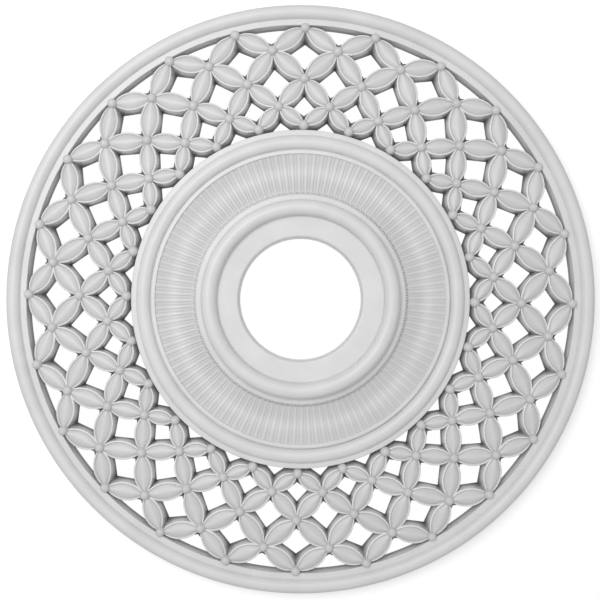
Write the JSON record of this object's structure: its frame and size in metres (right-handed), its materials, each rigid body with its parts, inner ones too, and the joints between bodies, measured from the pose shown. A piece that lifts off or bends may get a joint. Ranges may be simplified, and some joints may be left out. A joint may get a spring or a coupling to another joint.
{
  "type": "ceiling rose",
  "caption": "Round pierced ceiling rose: a moulded boss with a reeded band around a centre hole, an open lattice of petals and beads, and a half-round rim.",
  "frame": {"origin": "centre of the flat back, on the axis of the centre hole, which is the face that goes on the ceiling", "axes": "+Z along the rose's axis, out of its decorated face, so the rose lies on its back and is turned face down to go on a ceiling; +X through a bead of the outermost ring of beads"},
  "size_m": [0.5079, 0.508, 0.029],
  "materials": {
    "primed_casting": "smooth white primer on a moulded casting, satin to matte"
  },
  "bodies": {
    "root": {"ceiling_rose": "primed_casting"}
  },
  "joints": []
}
